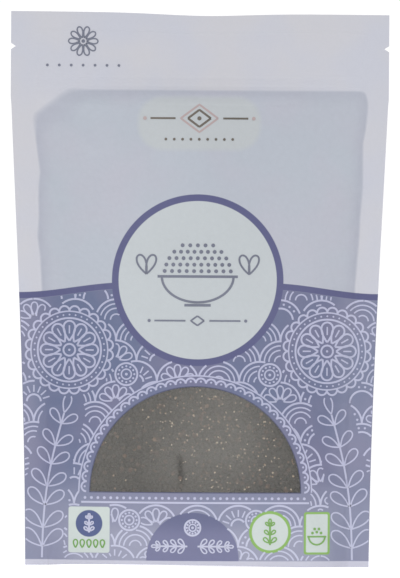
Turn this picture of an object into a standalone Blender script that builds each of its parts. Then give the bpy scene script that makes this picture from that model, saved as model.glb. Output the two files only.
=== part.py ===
"""A stand-up pouch of black quinoa, with a clear half-round window low on its front.

Metres, +Z up. The pouch stands on its folded-out bottom at z = 0, its front faces -Y, and
the origin is on the floor below the middle of the pack.
"""

import math
import random

import bmesh
import bpy

# The flat film before it is filled
HEIGHT = 0.232
FLAT_WIDTH = 0.159
SIDE_SEAL = 0.0095
SEAL_THICKNESS = 0.0010

# The fill: how high it reaches, and how far it pushes each panel out at the foot
FILL_TOP = 0.2025
FOOT_BULGE = 0.026
BULGE_FALL = 1.8
BULGE_ROUND = 0.6
SHOULDER_START = 0.1925
SHOULDER_END = 0.1998
FILL_CORNER = 0.0135
CORNER_SHARE = 0.6

# The header above the fill: two zip ridges and a tear notch at each side
ZIP_HEIGHT = 0.203
ZIP_PITCH = 0.0036
ZIP_RIDGE = 0.0005
ZIP_HALF_WIDTH = 0.0008
NOTCH_HEIGHT = 0.2175
NOTCH_DEPTH = 0.0022
NOTCH_WIDTH = 0.0036

# The empty header curls a little, and the bulge below draws its top edge down in the middle
WAVE_START = 0.145
WAVE_PHASE = 0.7
HEADER_WAVE = 0.0013
TOP_DIP = 0.0014

# The bottom film: flat on the floor in the middle, inside a foot seam that stands proud,
# and arched up between the panels towards the side seals, where it stays folded
SEAM_PROUD = 0.0012
SEAM_WIDTH = 0.0022
SEAM_LIMIT = 0.5
REST_SHARE = 0.62
FOLD_START = 0.019
FOLD_PEAK = 0.84
FOLD_RISE = 0.019
FOLD_ROUND = 1.5

# The print's colour changes at this height
PRINT_TOP = 0.113

# The window: a half disc with its straight side down, a little left of the middle
WINDOW_RADIUS = 0.0440
WINDOW_SILL = 0.0313
WINDOW_MIDDLE = -0.0009
WINDOW_BACK = 0.008
PANE_THICKNESS = 0.0004
GAP = 0.0003

# Quinoa grains are discs about 2 mm across, here as domes that run into each other
GRAIN = 0.0021
GRAIN_STEP = 0.00105
GRAIN_REACH = 0.6
GRAIN_RELIEF = 0.0009
GRAIN_LOWEST = 0.55
GRAIN_SCATTER = 0.3
GRAIN_SEED = 16
HEX_ROW = math.sqrt(3) / 2

# Grid of the film's panels, and the planes where cutters start and end
INNER_COLUMNS = 22
BODY_ROWS = 19
SHOULDER_ROWS = 4
FOOT_ROWS = 4
DOME_SIDES = 48
PANE_COLUMNS = 10
CUT_FRONT = -0.06
NOTCH_CUT = 0.005
MERGE = 1e-6


def ease(value, start, end):
    """0 at start, 1 at end, and smooth between."""
    share = min(max((value - start) / (end - start), 0.0), 1.0)
    return share * share * (3 - 2 * share)


def bulge(z):
    """How far each panel stands out from its seals, half way across the pack."""
    share = max(1 - (max(z, 0.0) / FILL_TOP) ** BULGE_FALL, 0.0)
    return FOOT_BULGE * share**BULGE_ROUND * (1 - ease(z, SHOULDER_START, SHOULDER_END))


def chord(z):
    """Width between the side seals. The film doesn't stretch, so a deeper bulge pulls the sides in."""
    flat = FLAT_WIDTH - 2 * SIDE_SEAL
    return (flat + math.sqrt(flat * flat - 32 / 3 * bulge(z) ** 2)) / 2


def half_width(z):
    return chord(z) / 2 + SIDE_SEAL


def fill_half_width(z):
    """Half the width that the fill pushes out: rounded off at the fill's upper corners."""
    above = max(z - (FILL_TOP - FILL_CORNER), 0.0)
    inset = FILL_CORNER - math.sqrt(max(FILL_CORNER**2 - min(above, FILL_CORNER) ** 2, 0.0))
    return chord(z) / 2 - CORNER_SHARE * inset


def zip_ridge(x, z):
    """The two ridges of the press-to-close zip, seen through the header's film."""
    if abs(x) > half_width(z) - SIDE_SEAL:
        return 0.0
    offsets = (abs(z - ZIP_HEIGHT + side * ZIP_PITCH / 2) for side in (-1, 1))
    return max(ZIP_RIDGE * (1 - ease(offset, 0, ZIP_HALF_WIDTH)) for offset in offsets)


def panel_depth(x, z):
    """Distance of the front panel's outer face from the middle plane."""
    across = abs(x) / fill_half_width(z)
    lens = max(1 - across * across, 0.0)
    return SEAL_THICKNESS / 2 + bulge(z) * lens + zip_ridge(x, z)


def header_wave(x, z):
    """How far the film curls backwards here, more towards its top edge."""
    return HEADER_WAVE * math.sin(2 * math.pi * x / FLAT_WIDTH + WAVE_PHASE) * ease(z, WAVE_START, HEIGHT)


def header_dip(x, z):
    """How far the film is drawn down here, most in the middle of the top edge."""
    across = 2 * x / FLAT_WIDTH
    return TOP_DIP * (1 - across * across) * ease(z, ZIP_HEIGHT, HEIGHT)


def material(name, colour, roughness, alpha=1.0):
    """A plain Principled finish in the part's colour."""
    made = bpy.data.materials.new(name)
    made.use_nodes = True
    shader = made.node_tree.nodes["Principled BSDF"]
    shader.inputs["Base Color"].default_value = (*colour, 1)
    shader.inputs["Roughness"].default_value = roughness
    shader.inputs["Metallic"].default_value = 0.0
    shader.inputs["Alpha"].default_value = alpha
    made.diffuse_color = (*colour, alpha)
    return made


def collection(name):
    made = bpy.data.collections.new(name)
    bpy.context.scene.collection.children.link(made)
    return made


def add_object(name, bm, home, *materials):
    """Makes a mesh object of a finished bmesh, in the collection that it belongs to."""
    bmesh.ops.recalc_face_normals(bm, faces=bm.faces)
    mesh = bpy.data.meshes.new(name)
    bm.to_mesh(mesh)
    bm.free()
    for finish in materials:
        mesh.materials.append(finish)
    made = bpy.data.objects.new(name, mesh)
    home.objects.link(made)
    return made


def boolean(target, operation, cutter):
    modifier = target.modifiers.new(f"{operation.lower()}_{cutter.name}", "BOOLEAN")
    modifier.operation = operation
    modifier.solver = "EXACT"
    modifier.object = cutter


def as_cutter(cutter):
    cutter.hide_render = True
    cutter.display_type = "WIRE"
    return cutter


def body_heights():
    """Heights of the rows of points up a panel: closer together at the shoulder and the zip."""
    body = [SHOULDER_START * row / BODY_ROWS for row in range(BODY_ROWS + 1)]
    nearest = min(range(len(body)), key=lambda row: abs(body[row] - PRINT_TOP))
    body[nearest] = PRINT_TOP
    rise = (SHOULDER_END - SHOULDER_START) / SHOULDER_ROWS
    shoulder = [SHOULDER_START + rise * row for row in range(1, SHOULDER_ROWS)]
    ridges = [
        ZIP_HEIGHT + side * ZIP_PITCH / 2 + offset
        for side in (-1, 1)
        for offset in (-ZIP_HALF_WIDTH, 0, ZIP_HALF_WIDTH)
    ]
    return body + shoulder + ridges + [NOTCH_HEIGHT, HEIGHT]


def column_shares():
    """Places across the pack, as shares of half the width between the seals."""
    return [2 * column / INNER_COLUMNS - 1 for column in range(INNER_COLUMNS + 1)]


def across_row(z):
    """The x of each column at a height: seal edge, the filled width, seal edge."""
    inner = [share * chord(z) / 2 for share in column_shares()]
    return [-half_width(z), *inner, half_width(z)]


def underside(x, share):
    """Height of the bottom film. share is 0 at the fold in the middle and 1 at the foot seam."""
    inner = chord(0.0) / 2
    sealed = ease(abs(x), FOLD_PEAK * inner, inner)
    hung = SEAM_PROUD * (1 - ease(1 - share, 0, 1 - REST_SHARE))
    fold = FOLD_RISE * ease(abs(x), FOLD_START, FOLD_PEAK * inner) * (1 - share**FOLD_ROUND)
    return (hung + fold) * (1 - sealed)


def foot_rows():
    """Rows of points under the pack, from the fold in the middle out to the foot seam."""
    xs = across_row(0.0)
    seam_share = [1 - min(SEAM_WIDTH / panel_depth(x, 0.0), SEAM_LIMIT) for x in xs]
    for step in range(FOOT_ROWS):
        shares = [edge * step / (FOOT_ROWS - 1) for edge in seam_share]
        yield [
            (x, -panel_depth(x, 0.0) * share, underside(x, share))
            for x, share in zip(xs, shares)
        ]


def panel_rows():
    """Rows of points up the front panel, from the foot seam to the top edge."""
    for z in body_heights():
        yield [(x, -panel_depth(x, z), z) for x in across_row(z)]


def strip(bm, below, above):
    """Faces between two rows of points."""
    for left in range(len(below) - 1):
        bm.faces.new([below[left], below[left + 1], above[left + 1], above[left]])


def side_edge(bm, foot_ends, panel_ends):
    """Closes one side of the front half, from its outer edge back to the middle plane."""
    middle = [bm.verts.new((end.co.x, 0.0, end.co.z)) for end in panel_ends[1:]]
    bm.faces.new([*foot_ends, panel_ends[0], panel_ends[1], middle[0]])
    for row in range(1, len(middle)):
        bm.faces.new([panel_ends[row], panel_ends[row + 1], middle[row], middle[row - 1]])
    return middle[-1]


def pouch_body(home, pale, printed):
    """The front half of the pack is one sheet of faces, open at the middle plane, then mirrored."""
    bm = bmesh.new()
    foot = [[bm.verts.new(point) for point in row] for row in foot_rows()]
    panel = [[bm.verts.new(point) for point in row] for row in panel_rows()]
    rows = foot + panel
    for below, above in zip(rows, rows[1:]):
        strip(bm, below, above)
    corners = [
        side_edge(bm, [row[end] for row in foot], [row[end] for row in panel]) for end in (0, -1)
    ]
    top = panel[-1]
    middle = [bm.verts.new((vertex.co.x, 0.0, HEIGHT)) for vertex in top[1:-1]]
    strip(bm, top, [corners[0], *middle, corners[1]])
    for face in bm.faces:
        face.material_index = int(face.calc_center_median().z < PRINT_TOP)
        face.smooth = True
    every = bm.verts[:] + bm.edges[:] + bm.faces[:]
    bmesh.ops.mirror(bm, geom=every, axis="Y", merge_dist=MERGE)
    for vertex in bm.verts:
        x, z = vertex.co.x, vertex.co.z
        vertex.co.y += header_wave(x, z)
        vertex.co.z -= header_dip(x, z)
    return add_object("pouch", bm, home, pale, printed)


def half_disc_prism(name, home, radius, sill, front, back):
    """A half disc, straight side down, as a block running from y = front to y = back."""
    bm = bmesh.new()
    arc = [math.pi * step / DOME_SIDES for step in range(DOME_SIDES + 1)]
    outline = [(WINDOW_MIDDLE + radius * math.cos(a), sill + radius * math.sin(a)) for a in arc]
    face = bm.faces.new([bm.verts.new((x, front, z)) for x, z in outline])
    deepen(bm, [face], lambda point: back)
    return as_cutter(add_object(name, bm, home))


def notch_cutter(name, home, side):
    """A sharp wedge that nicks the edge of the header."""
    x_edge = side * half_width(NOTCH_HEIGHT)
    bm = bmesh.new()
    outline = [
        (x_edge + side * NOTCH_DEPTH, NOTCH_WIDTH),
        (x_edge - side * NOTCH_DEPTH, 0.0),
        (x_edge + side * NOTCH_DEPTH, -NOTCH_WIDTH),
    ]
    face = bm.faces.new([bm.verts.new((x, -NOTCH_CUT, NOTCH_HEIGHT + dz)) for x, dz in outline])
    deepen(bm, [face], lambda point: NOTCH_CUT)
    return as_cutter(add_object(name, bm, home))


def window_grid(step):
    """A flat grid a little larger than the window, in the x-z plane."""
    bm = bmesh.new()
    columns = math.ceil(2 * (WINDOW_RADIUS + step) / step)
    rows = math.ceil((WINDOW_RADIUS + 2 * step) / step)
    bmesh.ops.create_grid(bm, x_segments=columns, y_segments=rows, size=0.5)
    for vertex in bm.verts:
        x = WINDOW_MIDDLE + vertex.co.x * columns * step
        z = WINDOW_SILL + WINDOW_RADIUS / 2 + vertex.co.y * rows * step
        vertex.co = (x, 0.0, z)
    return bm


def deepen(bm, front, back):
    """Closes open faces into a block, with its back moved to the y that back gives."""
    grown = bmesh.ops.extrude_face_region(bm, geom=front)["geom"]
    for item in grown:
        if isinstance(item, bmesh.types.BMVert):
            item.co.y = back(item.co)


def grain_centres():
    """Grain places over the window: a hexagonal packing, each grain off its place and its level."""
    draw = random.Random(GRAIN_SEED)
    pitch = GRAIN * HEX_ROW
    rows = math.ceil((WINDOW_RADIUS + 4 * GRAIN) / pitch)
    columns = math.ceil((2 * WINDOW_RADIUS + 4 * GRAIN) / GRAIN)
    for row in range(rows):
        for column in range(columns):
            x = WINDOW_MIDDLE + (column - columns / 2 + (row % 2) / 2) * GRAIN
            z = WINDOW_SILL - 2 * GRAIN + row * pitch
            right = draw.uniform(-GRAIN_SCATTER, GRAIN_SCATTER) * GRAIN
            up = draw.uniform(-GRAIN_SCATTER, GRAIN_SCATTER) * GRAIN
            yield x + right, z + up, draw.uniform(0.0, 1.0)


def sorted_grains():
    """Grain centres by the square that they lie in, so that only near ones are searched."""
    squares = {}
    for x, z, level in grain_centres():
        key = (math.floor(x / GRAIN), math.floor(z / GRAIN))
        squares.setdefault(key, []).append((x, z, level))
    return squares


def grain_drop(x, z, squares):
    """How far the heap's face lies below its highest grains here."""
    column, row = math.floor(x / GRAIN), math.floor(z / GRAIN)
    best = 0.0
    for dx in (-1, 0, 1):
        for dz in (-1, 0, 1):
            for gx, gz, level in squares.get((column + dx, row + dz), []):
                away = math.hypot(x - gx, z - gz) / (GRAIN * GRAIN_REACH)
                dome = math.sqrt(max(1 - away * away, 0.0))
                best = max(best, dome * (GRAIN_LOWEST + (1 - GRAIN_LOWEST) * level))
    return GRAIN_RELIEF * (1 - best)


def window_trim(name, home):
    """The window's own outline, a gap smaller all round than the opening in the pouch."""
    return half_disc_prism(name, home, WINDOW_RADIUS - GAP, WINDOW_SILL + GAP, CUT_FRONT, 0.0)


def quinoa_heap(home, cutters, finish):
    """The grains that press against the window: a block with a bump for each grain on its face."""
    squares = sorted_grains()
    skin = PANE_THICKNESS + GAP
    bm = window_grid(GRAIN_STEP)
    for vertex in bm.verts:
        x, z = vertex.co.x, vertex.co.z
        vertex.co.y = -panel_depth(x, z) + skin + grain_drop(x, z, squares)
    deepen(bm, bm.faces[:], lambda point: -WINDOW_BACK - GAP)
    heap = add_object("quinoa", bm, home, finish)
    boolean(heap, "INTERSECT", window_trim("quinoa_trim", cutters))
    return heap


def window_pane(home, cutters, finish):
    """The unprinted, clear part of the front film, flush with the print around it."""
    bm = window_grid(WINDOW_RADIUS / PANE_COLUMNS)
    for vertex in bm.verts:
        vertex.co.y = -panel_depth(vertex.co.x, vertex.co.z)
    for face in bm.faces:
        face.smooth = True
    deepen(bm, bm.faces[:], lambda point: point.y + PANE_THICKNESS)
    pane = add_object("window_film", bm, home, finish)
    boolean(pane, "INTERSECT", window_trim("pane_trim", cutters))
    return pane


def build():
    for leftover in list(bpy.data.objects):
        bpy.data.objects.remove(leftover)
    parts = collection("quinoa_pouch")
    cutters = collection("cutters")
    pale = material("pale_film", (0.57, 0.58, 0.67), 0.45)
    printed = material("printed_film", (0.19, 0.19, 0.38), 0.45)
    clear = material("clear_film", (0.75, 0.75, 0.72), 0.25, alpha=0.35)
    grains = material("black_quinoa", (0.035, 0.030, 0.026), 0.75)

    pouch = pouch_body(parts, pale, printed)
    opening = half_disc_prism(
        "window_opening", cutters, WINDOW_RADIUS, WINDOW_SILL, CUT_FRONT, -WINDOW_BACK
    )
    boolean(pouch, "DIFFERENCE", opening)
    for name, side in (("notch_left", -1), ("notch_right", 1)):
        boolean(pouch, "DIFFERENCE", notch_cutter(name, cutters, side))
    quinoa_heap(parts, cutters, grains)
    window_pane(parts, cutters, clear)


build()
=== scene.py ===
"""Looks of a sealed stand-up pouch of black quinoa: film, print, clear window and grains.

Metres, +Z up. The pouch stands at z = 0 and its front, with the window, faces -Y.
"""

import math
import random

import bpy
import numpy as np
from mathutils import Matrix, Vector


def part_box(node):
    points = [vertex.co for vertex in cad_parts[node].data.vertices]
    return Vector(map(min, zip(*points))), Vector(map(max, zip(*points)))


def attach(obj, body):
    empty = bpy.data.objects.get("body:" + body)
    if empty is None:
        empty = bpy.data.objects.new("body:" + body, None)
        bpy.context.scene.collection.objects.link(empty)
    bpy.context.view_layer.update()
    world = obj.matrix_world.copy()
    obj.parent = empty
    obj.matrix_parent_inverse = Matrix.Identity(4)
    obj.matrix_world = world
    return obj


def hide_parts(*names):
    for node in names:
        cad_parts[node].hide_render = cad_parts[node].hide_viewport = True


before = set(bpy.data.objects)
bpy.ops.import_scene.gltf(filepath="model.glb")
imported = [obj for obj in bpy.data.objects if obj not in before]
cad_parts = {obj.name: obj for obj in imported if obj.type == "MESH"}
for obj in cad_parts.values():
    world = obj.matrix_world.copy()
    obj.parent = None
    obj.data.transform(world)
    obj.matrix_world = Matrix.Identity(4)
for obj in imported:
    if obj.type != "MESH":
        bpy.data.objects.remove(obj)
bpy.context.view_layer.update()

# The pouch is one laminated film, sealed flat at both sides and across its top. The film
# doesn't stretch: where the grain pushes its two panels apart, its sides draw in.
pouch_low, pouch_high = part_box("pouch")
SOLID_SEAL_HALF = 0.0005
EDGE_TRIM = 0.0004
HEIGHT = pouch_high.z
FLAT_WIDTH = pouch_high.x - pouch_low.x - EDGE_TRIM
FOOT_BULGE = pouch_high.y - SOLID_SEAL_HALF
SIDE_SEAL = 0.0095
FILL_TOP = 0.2025
BULGE_FALL = 1.8
BULGE_ROUND = 0.6
SHOULDER_START = 0.1925
SHOULDER_END = 0.1998
FILL_CORNER = 0.0135
CORNER_SHARE = 0.6


def ease(value, start, end):
    """0 at start, 1 at end, and smooth between."""
    share = np.clip((value - start) / (end - start), 0.0, 1.0)
    return share * share * (3 - 2 * share)


def bulge(z):
    """How far each panel stands out from its seals, half way across the pack."""
    share = np.maximum(1 - (np.maximum(z, 0.0) / FILL_TOP) ** BULGE_FALL, 0.0)
    return FOOT_BULGE * share**BULGE_ROUND * (1 - ease(z, SHOULDER_START, SHOULDER_END))


def chord(z):
    """Width between the side seals."""
    flat = FLAT_WIDTH - 2 * SIDE_SEAL
    return (flat + np.sqrt(flat * flat - 32 / 3 * bulge(z) ** 2)) / 2


def half_width(z):
    return chord(z) / 2 + SIDE_SEAL


def from_seal(x, z):
    """Distance in from the nearer side seal."""
    return chord(z) / 2 - np.abs(x)


def fill_half_width(z):
    """Half the width that the fill pushes out: rounded off at the fill's upper corners."""
    above = np.clip(z - (FILL_TOP - FILL_CORNER), 0.0, FILL_CORNER)
    inset = FILL_CORNER - np.sqrt(FILL_CORNER**2 - above**2)
    return chord(z) / 2 - CORNER_SHARE * inset


# The empty header over the fill is two loose sheets with a press-to-close zip between them.
# It curls a little, is cut a little askew, sinks in the middle, and has a tear notch at each side.
ZIP_HEIGHT = 0.203
ZIP_PITCH = 0.0036
ZIP_RIDGE = 0.00014
ZIP_HALF_WIDTH = 0.0012
ZIP_CRUSH = 0.002
NOTCH_HEIGHT = 0.2175
NOTCH_DEPTH = 0.0020
NOTCH_HALF_HEIGHT = 0.0013
TOP_SEAL_LOW = 0.2246
TOP_SEAL_STEP = 0.0006
WAVE_START = 0.145
WAVE_PHASE = 0.7
HEADER_WAVE = 0.0013
TOP_DIP = 0.00115
TOP_DIP_MIDDLE = 0.002
TOP_DIP_REACH = 0.025
TOP_SKEW = 0.0052
SEALED_HALF = 0.00028
LOOSE_HALF = 0.00052


def zip_ridge(x, z):
    """The zip's two ridges, which end at the side seals."""
    offset = np.abs(np.abs(z - ZIP_HEIGHT) - ZIP_PITCH / 2)
    crushed = ease(from_seal(x, z), 0.0, ZIP_CRUSH)
    return ZIP_RIDGE * (1 - ease(offset, 0, ZIP_HALF_WIDTH)) * crushed


def sheet_half(x, z):
    """Half the thickness of the two sheets: thin where they are sealed, thicker where they are loose."""
    from_side = ease(from_seal(x, z), 0.0, TOP_SEAL_STEP)
    from_top = 1 - ease(z, TOP_SEAL_LOW - TOP_SEAL_STEP, TOP_SEAL_LOW)
    return SEALED_HALF + (LOOSE_HALF - SEALED_HALF) * from_side * from_top


def header_wave(x, z):
    return HEADER_WAVE * np.sin(2 * math.pi * x / FLAT_WIDTH + WAVE_PHASE) * ease(z, WAVE_START, HEIGHT)


def header_dip(x, z):
    """How far the header is lower than its left and right corners' mean height."""
    across = (x - TOP_DIP_MIDDLE) / TOP_DIP_REACH
    return (TOP_DIP * np.exp(-across * across) + TOP_SKEW * x) * ease(z, ZIP_HEIGHT, HEIGHT)


def notch_cut(z):
    """How far the tear notch cuts into the side of the header."""
    return NOTCH_DEPTH * np.clip(1 - np.abs(z - NOTCH_HEIGHT) / NOTCH_HALF_HEIGHT, 0.0, 1.0)


# Filled film is never smooth. It puckers along the side seals, creases towards the corners that
# hold it, and follows the lumps in the grain. The foot is drawn up, most under the front.
FOOT_ARCH = 0.00088
BACK_ARCH = 0.0005
FOOT_ARCH_MIDDLE = -0.020
FOOT_ARCH_REACH = 0.062
FOOT_SEAM_REACH = 0.012
PUCKER_LENGTHS = (0.0058, 0.0087, 0.0133, 0.021)
PUCKER_HEIGHT = 0.00030
PUCKER_REACH = 0.0036
PUCKER_SEED = 11
LUMP_HEIGHT = 0.00034
LUMP_LONGEST = 0.065
LUMP_SHORTEST = 0.018
LUMP_WAVES = 14
LUMP_SEED = 5
LOOSE_BULGE = 0.006
CREASE_SOFTNESS = 0.5
CREASES = (
    # from x, z to x, z, half width, depth; a negative depth stands proud
    (-0.0665, 0.1935, -0.0420, 0.1730, 0.0032, 0.00060),
    (-0.0640, 0.1980, -0.0330, 0.1890, 0.0026, 0.00045),
    (0.0675, 0.1950, 0.0460, 0.1740, 0.0030, 0.00055),
    (0.0560, 0.1970, 0.0250, 0.1900, 0.0024, 0.00035),
    (-0.0600, 0.0040, -0.0470, 0.0290, 0.0034, 0.00060),
    (0.0605, 0.0040, 0.0485, 0.0270, 0.0032, 0.00055),
    (-0.0635, 0.1240, -0.0500, 0.1190, 0.0024, 0.00035),
    (0.0640, 0.1500, 0.0520, 0.1430, 0.0026, 0.00035),
    (-0.0077, 0.0480, -0.0066, 0.0340, 0.0014, 0.00028),
)


def waves(x, z, seed):
    """Smooth seeded relief between about -1 and 1: waves of many lengths and directions."""
    draw = random.Random(seed)
    total = 0.0
    for _ in range(LUMP_WAVES):
        length = draw.uniform(LUMP_SHORTEST, LUMP_LONGEST)
        turn = draw.uniform(0, math.pi)
        along = x * math.cos(turn) + z * math.sin(turn)
        total = total + np.sin(2 * math.pi * along / length + draw.uniform(0, 2 * math.pi))
    return total / math.sqrt(LUMP_WAVES)


def side_puckers(x, z, seed):
    """Short folds across each side seal's inner edge, which die out within a few millimetres."""
    draw = random.Random(seed)
    total = 0.0
    for length in PUCKER_LENGTHS:
        left, right = draw.uniform(0, 2 * math.pi), draw.uniform(0, 2 * math.pi)
        total = total + np.sin(2 * math.pi * z / length + np.where(x < 0, left, right))
    inset = np.maximum(from_seal(x, z), 0.0) / PUCKER_REACH
    return PUCKER_HEIGHT * total / math.sqrt(len(PUCKER_LENGTHS)) * inset * np.exp(1 - inset)


def creases(x, z, side):
    """Soft folds along straight stretches, deepest in the middle of each. The back has them mirrored."""
    total = 0.0
    for x0, z0, x1, z1, width, depth in CREASES:
        dx, dz = side * (x0 - x1), z1 - z0
        length = math.hypot(dx, dz)
        along = ((x + side * x0) * dx + (z - z0) * dz) / length
        across = ((x + side * x0) * dz - (z - z0) * dx) / length
        taper = np.sin(math.pi * np.clip(along / length, 0.0, 1.0)) ** CREASE_SOFTNESS
        total = total + depth * taper * np.exp(-((across / width) ** 2))
    return total


def film_depth(x, z, side):
    """Distance of the film's outer face from the middle plane. side is -1 in front and 1 behind."""
    across = x / fill_half_width(z)
    filled = bulge(z) * np.maximum(1 - across * across, 0.0)
    lumps = LUMP_HEIGHT * waves(x, z, LUMP_SEED + side)
    relief = (lumps - creases(x, z, side)) * ease(filled, 0.0, LOOSE_BULGE)
    drawn_in = bulge(z) / FOOT_BULGE * ease(z, 0.0, FOOT_SEAM_REACH)
    relief = relief + side_puckers(x, z, PUCKER_SEED + side) * drawn_in
    return sheet_half(x, z) + zip_ridge(x, z) + np.maximum(filled + relief, 0.0)


def foot_arch(x, side):
    """How high a panel's foot edge stands off the table."""
    across = (x - FOOT_ARCH_MIDDLE) / FOOT_ARCH_REACH
    return (FOOT_ARCH if side < 0 else BACK_ARCH) * np.maximum(1 - across * across, 0.0)


def film_point(x, z, side, lift=0.0):
    """The place on the film over x, z, or lift in front of it."""
    y = side * (film_depth(x, z, side) + lift) + header_wave(x, z)
    raised = foot_arch(x, side) * (1 - ease(z, 0.0, FOOT_SEAM_REACH))
    return np.stack(np.broadcast_arrays(x, y, z - header_dip(x, z) + raised), axis=-1)


# Each panel is a fine grid that follows the seals. The front panel's cells inside the window's
# outline are the clear pane and the others are printed film, with a thin rim where they meet.
CELL = 0.00105
WINDOW_RADIUS = 0.0440
WINDOW_SILL = 0.0313
WINDOW_MIDDLE = -0.0009
RIM = 0.00025
SNAP_REACH = 0.52
TINY = 1e-9
ROW_STRETCHES = (
    # up to this height, with rows at most this far apart
    (WINDOW_SILL, CELL),
    (SHOULDER_START, CELL),
    (ZIP_HEIGHT - ZIP_PITCH / 2 - ZIP_HALF_WIDTH, 0.0006),
    (ZIP_HEIGHT + ZIP_PITCH / 2 + ZIP_HALF_WIDTH, 0.0002),
    (NOTCH_HEIGHT - NOTCH_HALF_HEIGHT, CELL),
    (NOTCH_HEIGHT, 0.0006),
    (NOTCH_HEIGHT + NOTCH_HALF_HEIGHT, 0.0006),
    (TOP_SEAL_LOW - TOP_SEAL_STEP, CELL),
    (TOP_SEAL_LOW, 0.0002),
    (HEIGHT, CELL),
)
SEAL_COLUMNS = 8


def grid_heights():
    heights = [0.0]
    for top, step in ROW_STRETCHES:
        count = math.ceil((top - heights[-1]) / step)
        heights += list(np.linspace(heights[-1], top, count + 1)[1:])
    return np.array(heights)


def grid_places():
    """Places across: -1 to 1 between the seals, and on to 2 at the pack's outer edge."""
    inner = math.ceil((FLAT_WIDTH - 2 * SIDE_SEAL) / CELL)
    seal = np.linspace(1, 2, SEAL_COLUMNS + 1)[1:]
    return np.concatenate([-seal[::-1], np.linspace(-1, 1, inner + 1), seal])


def grid_x(places, z):
    inner = chord(z) / 2
    outer = half_width(z) - notch_cut(z)
    beyond = np.clip(np.abs(places) - 1, 0, 1)
    return np.sign(places) * (np.minimum(np.abs(places), 1) * inner + beyond * (outer - inner))


def snap_to_window(x, z):
    """Moves the points nearest the window's arc onto it. Says which points lie inside, on or outside."""
    dx, dz = x - WINDOW_MIDDLE, z - WINDOW_SILL
    radius = np.hypot(dx, dz)
    above = dz > -TINY
    near = above & (np.abs(radius - WINDOW_RADIUS) < SNAP_REACH * CELL)
    pull = np.where(near, WINDOW_RADIUS / np.maximum(radius, TINY), 1.0)
    x, z = WINDOW_MIDDLE + dx * pull, np.where(near, WINDOW_SILL + dz * pull, z)
    on_sill = (np.abs(dz) < TINY) & (radius < WINDOW_RADIUS)
    inside = above & (radius < WINDOW_RADIUS) & ~near & ~on_sill
    return x, z, np.where(near | on_sill, 0, np.where(inside, -1, 1))


def cell_faces(index, kinds, wanted):
    """Faces on one side of the window's outline: wanted is 1 outside it and -1 inside."""
    for row in range(index.shape[0] - 1):
        for column in range(index.shape[1] - 1):
            corners = ((row, column), (row, column + 1), (row + 1, column + 1), (row + 1, column))
            ring = [int(index[corner]) for corner in corners]
            here = [int(kinds[corner]) for corner in corners]
            if wanted in here and -wanted in here:
                at = here.index(wanted)
                yield [ring[at - 1], ring[at], ring[(at + 1) % 4]]
            elif wanted in here:
                yield ring


def open_edges(faces):
    """Edges that only one face has, from each one's start to its end as that face runs."""
    edges = {(ring[at - 1], ring[at]) for ring in faces for at in range(len(ring))}
    return {start: end for start, end in edges if (end, start) not in edges}


def used_points(points, faces):
    """The points that the faces use, and the faces numbered to match."""
    used = sorted({corner for ring in faces for corner in ring})
    number = {old: new for new, old in enumerate(used)}
    return points[used], [[number[corner] for corner in ring] for ring in faces]


def mark(piece, name, values):
    """Gives each point of a piece a number that its material reads."""
    attribute = piece.data.attributes.new(name, "FLOAT", "POINT")
    attribute.data.foreach_set("value", np.asarray(values, np.float32))


def new_object(name, data):
    made = bpy.data.objects.new(name, data)
    bpy.context.collection.objects.link(made)
    return made


def new_piece(name, points, faces, materials, face_material=None):
    """A piece of the pouch with smooth faces and true edges."""
    mesh = bpy.data.meshes.new(name)
    mesh.from_pydata(np.asarray(points).tolist(), [], faces)
    for material in materials:
        mesh.materials.append(material)
    if face_material is not None:
        mesh.polygons.foreach_set("material_index", face_material)
    mesh.shade_smooth()
    mesh.set_sharp_from_angle(angle=math.radians(SHARP_ANGLE))
    piece = new_object(name, mesh)
    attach(piece, "root")
    return piece


# Under the pack the film is folded out into an oval foot. It hangs from the foot seams to the
# table, or nearly so, and arches up towards the side seals, where it stays folded.
SEAM_PROUD = 0.0012
SEAM_WIDTH = 0.0022
SEAM_LIMIT = 0.5
REST_SHARE = 0.62
FOLD_START = 0.019
FOLD_PEAK = 0.84
FOLD_RISE = 0.019
FOLD_ROUND = 1.5
FOOT_ROWS = 12


def underside(x, share):
    """Height of the foot's film. share is 0 half way from front to back and 1 at a foot seam."""
    inner = chord(0.0) / 2
    hung = SEAM_PROUD * (1 - ease(1 - share, 0, 1 - REST_SHARE))
    fold = FOLD_RISE * ease(np.abs(x), FOLD_START, FOLD_PEAK * inner) * (1 - share**FOLD_ROUND)
    return (hung + fold) * (1 - ease(np.abs(x), FOLD_PEAK * inner, inner))


def foot_points(front_row, back_row):
    """Rows of points under the pack, from the front seam to the back one without their edges."""
    x = front_row[:, 0]
    middle = (front_row[:, 2] + back_row[:, 2]) / 2
    rows = []
    for edge_row, steps in ((front_row, range(FOOT_ROWS, -1, -1)), (back_row, range(1, FOOT_ROWS + 1))):
        seam_share = 1 - np.minimum(SEAM_WIDTH / np.abs(edge_row[:, 1]), SEAM_LIMIT)
        for step in steps:
            share = seam_share * step / FOOT_ROWS
            height = underside(x, share) + middle + (edge_row[:, 2] - middle) * share
            rows.append(np.stack([x, edge_row[:, 1] * share, height], axis=1))
    return rows


heights = grid_heights()
places = grid_places()
column_heights = np.repeat(heights[:, None], len(places), axis=1)
column_x = grid_x(places[None, :], heights[:, None])
front_x, front_z, window_kinds = snap_to_window(column_x, column_heights)
front_points = film_point(front_x, front_z, -1)
back_points = film_point(column_x, column_heights, 1)
foot_grid = np.stack(foot_points(front_points[0], back_points[0]))
panel_size = front_x.size
front_index = np.arange(panel_size).reshape(front_x.shape)
back_index = front_index + panel_size
foot_index = np.arange(foot_grid[..., 0].size).reshape(foot_grid.shape[:2]) + 2 * panel_size
foot_index = np.concatenate([front_index[:1], foot_index, back_index[:1]])
film_points = np.concatenate([part.reshape(-1, 3) for part in (front_points, back_points, foot_grid)])


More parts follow.
